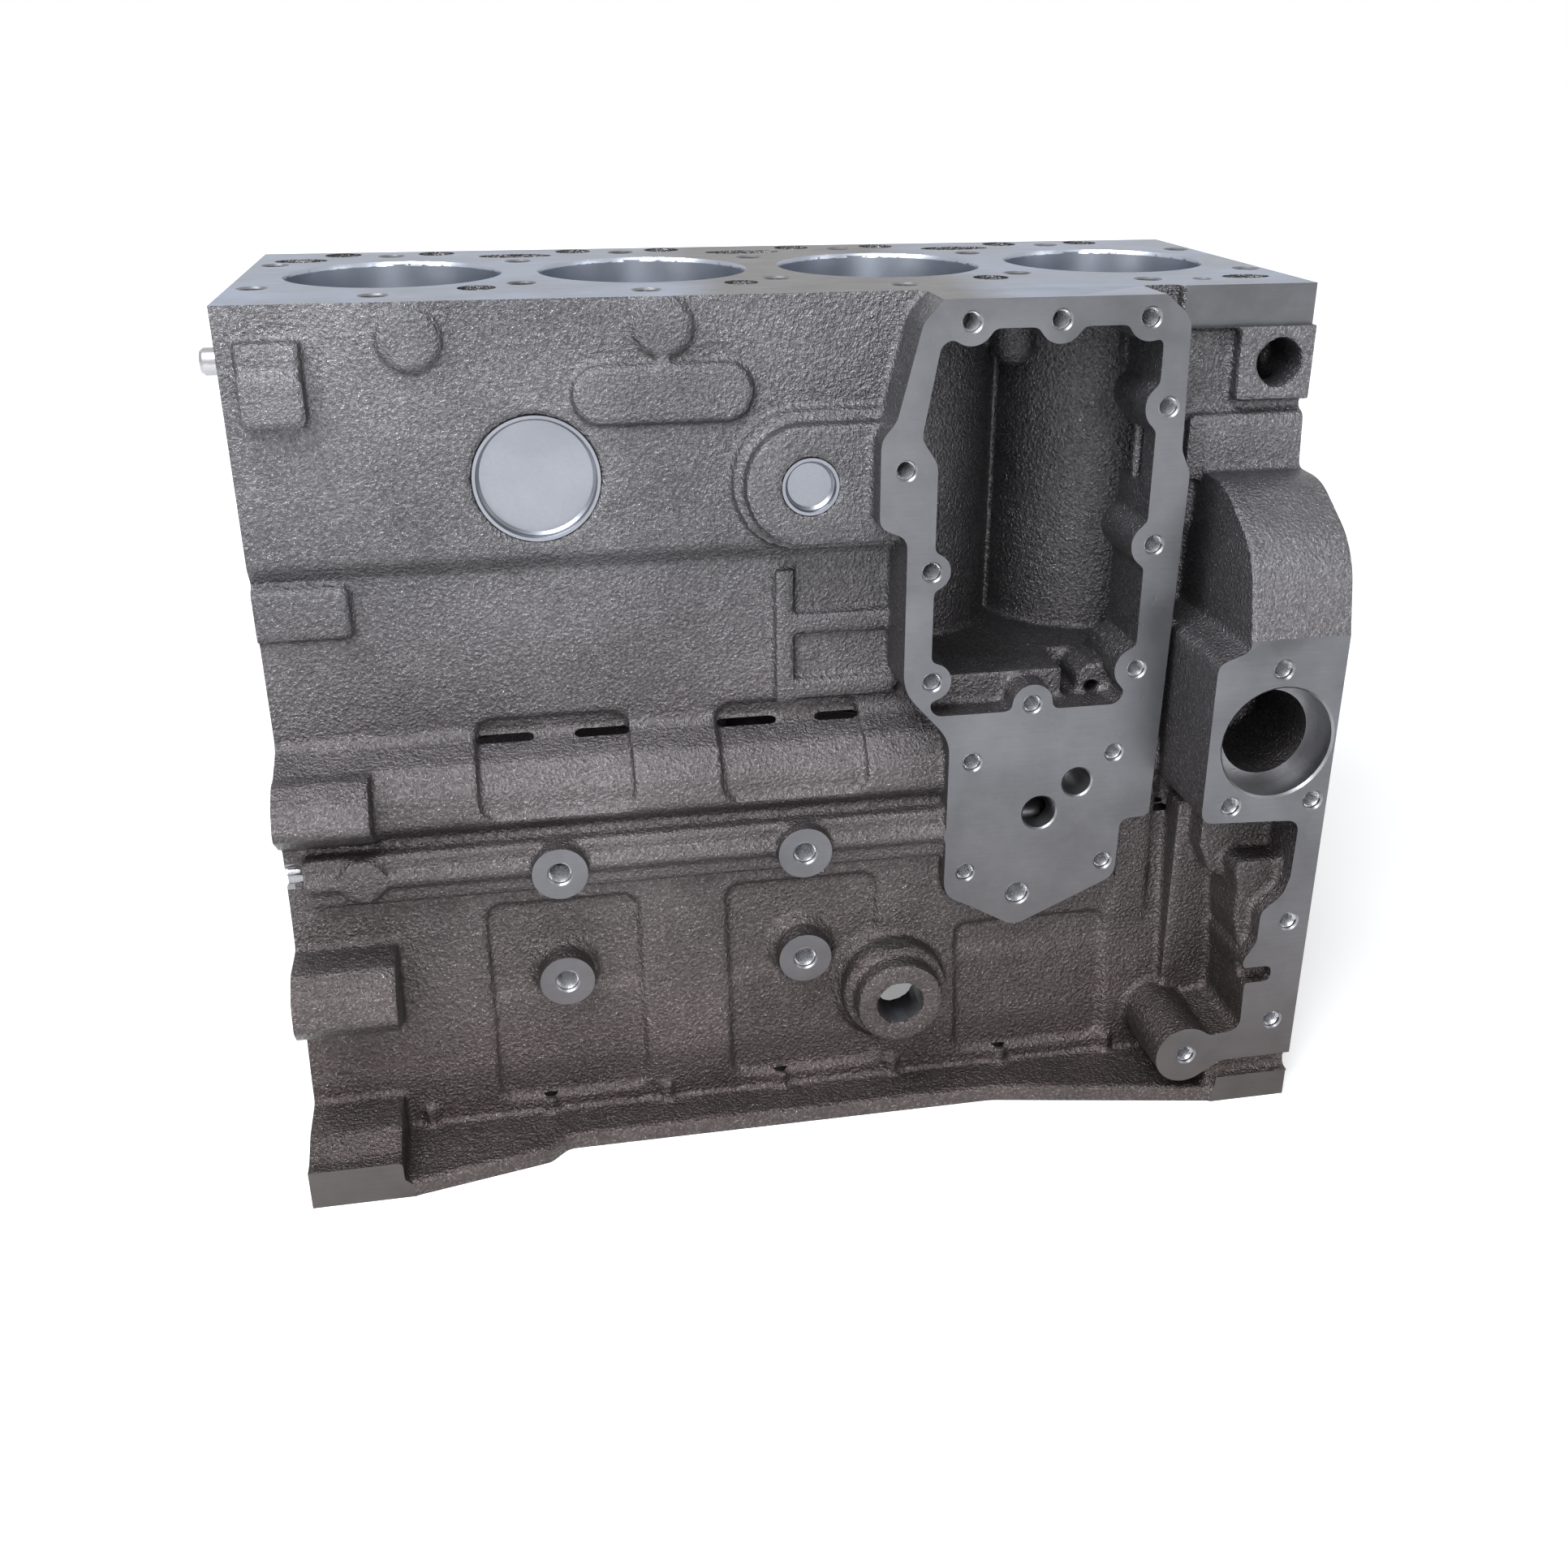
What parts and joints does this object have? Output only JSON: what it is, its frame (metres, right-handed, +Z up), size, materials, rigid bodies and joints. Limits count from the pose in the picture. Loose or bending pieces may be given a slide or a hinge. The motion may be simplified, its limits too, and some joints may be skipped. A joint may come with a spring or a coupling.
{
  "type": "engine block",
  "caption": "In-line diesel engine block casting with cylinder bores, crankcase webs and bearing caps, oil cooler flange, pump housing and core plugs.",
  "frame": {"origin": "on the crankshaft axis, at the middle of the middle main bearing", "axes": "+X along the crankshaft axis from the flywheel end to the timing end, +Z up to the head deck, -Y towards the oil cooler side"},
  "size_m": [0.5165, 0.355, 0.41],
  "materials": {
    "cast_iron": "as cast, faces machined",
    "cap_iron": "as cast, faces machined",
    "bolt_steel": "black oxide",
    "dowel_steel": "ground",
    "plug_steel": "pressed sheet, bright",
    "bushing_bronze": "bored",
    "socket_plug_steel": "plain"
  },
  "bodies": {
    "root": {"cylinder_block": "cast_iron", "main_cap_1": "cap_iron", "main_cap_2": "cap_iron", "main_cap_3": "cap_iron", "main_cap_4": "cap_iron", "main_cap_5": "cap_iron", "main_cap_bolts": "bolt_steel", "cap_ring_dowels": "dowel_steel", "large_core_plug": "plug_steel", "small_core_plug": "plug_steel", "rear_core_plug": "plug_steel", "camshaft_rear_plug": "plug_steel", "camshaft_bushing": "bushing_bronze", "gallery_plug_rear": "socket_plug_steel", "gallery_plug_front": "socket_plug_steel", "rear_dowel_pins": "dowel_steel", "front_dowel_pins": "dowel_steel"}
  },
  "joints": []
}
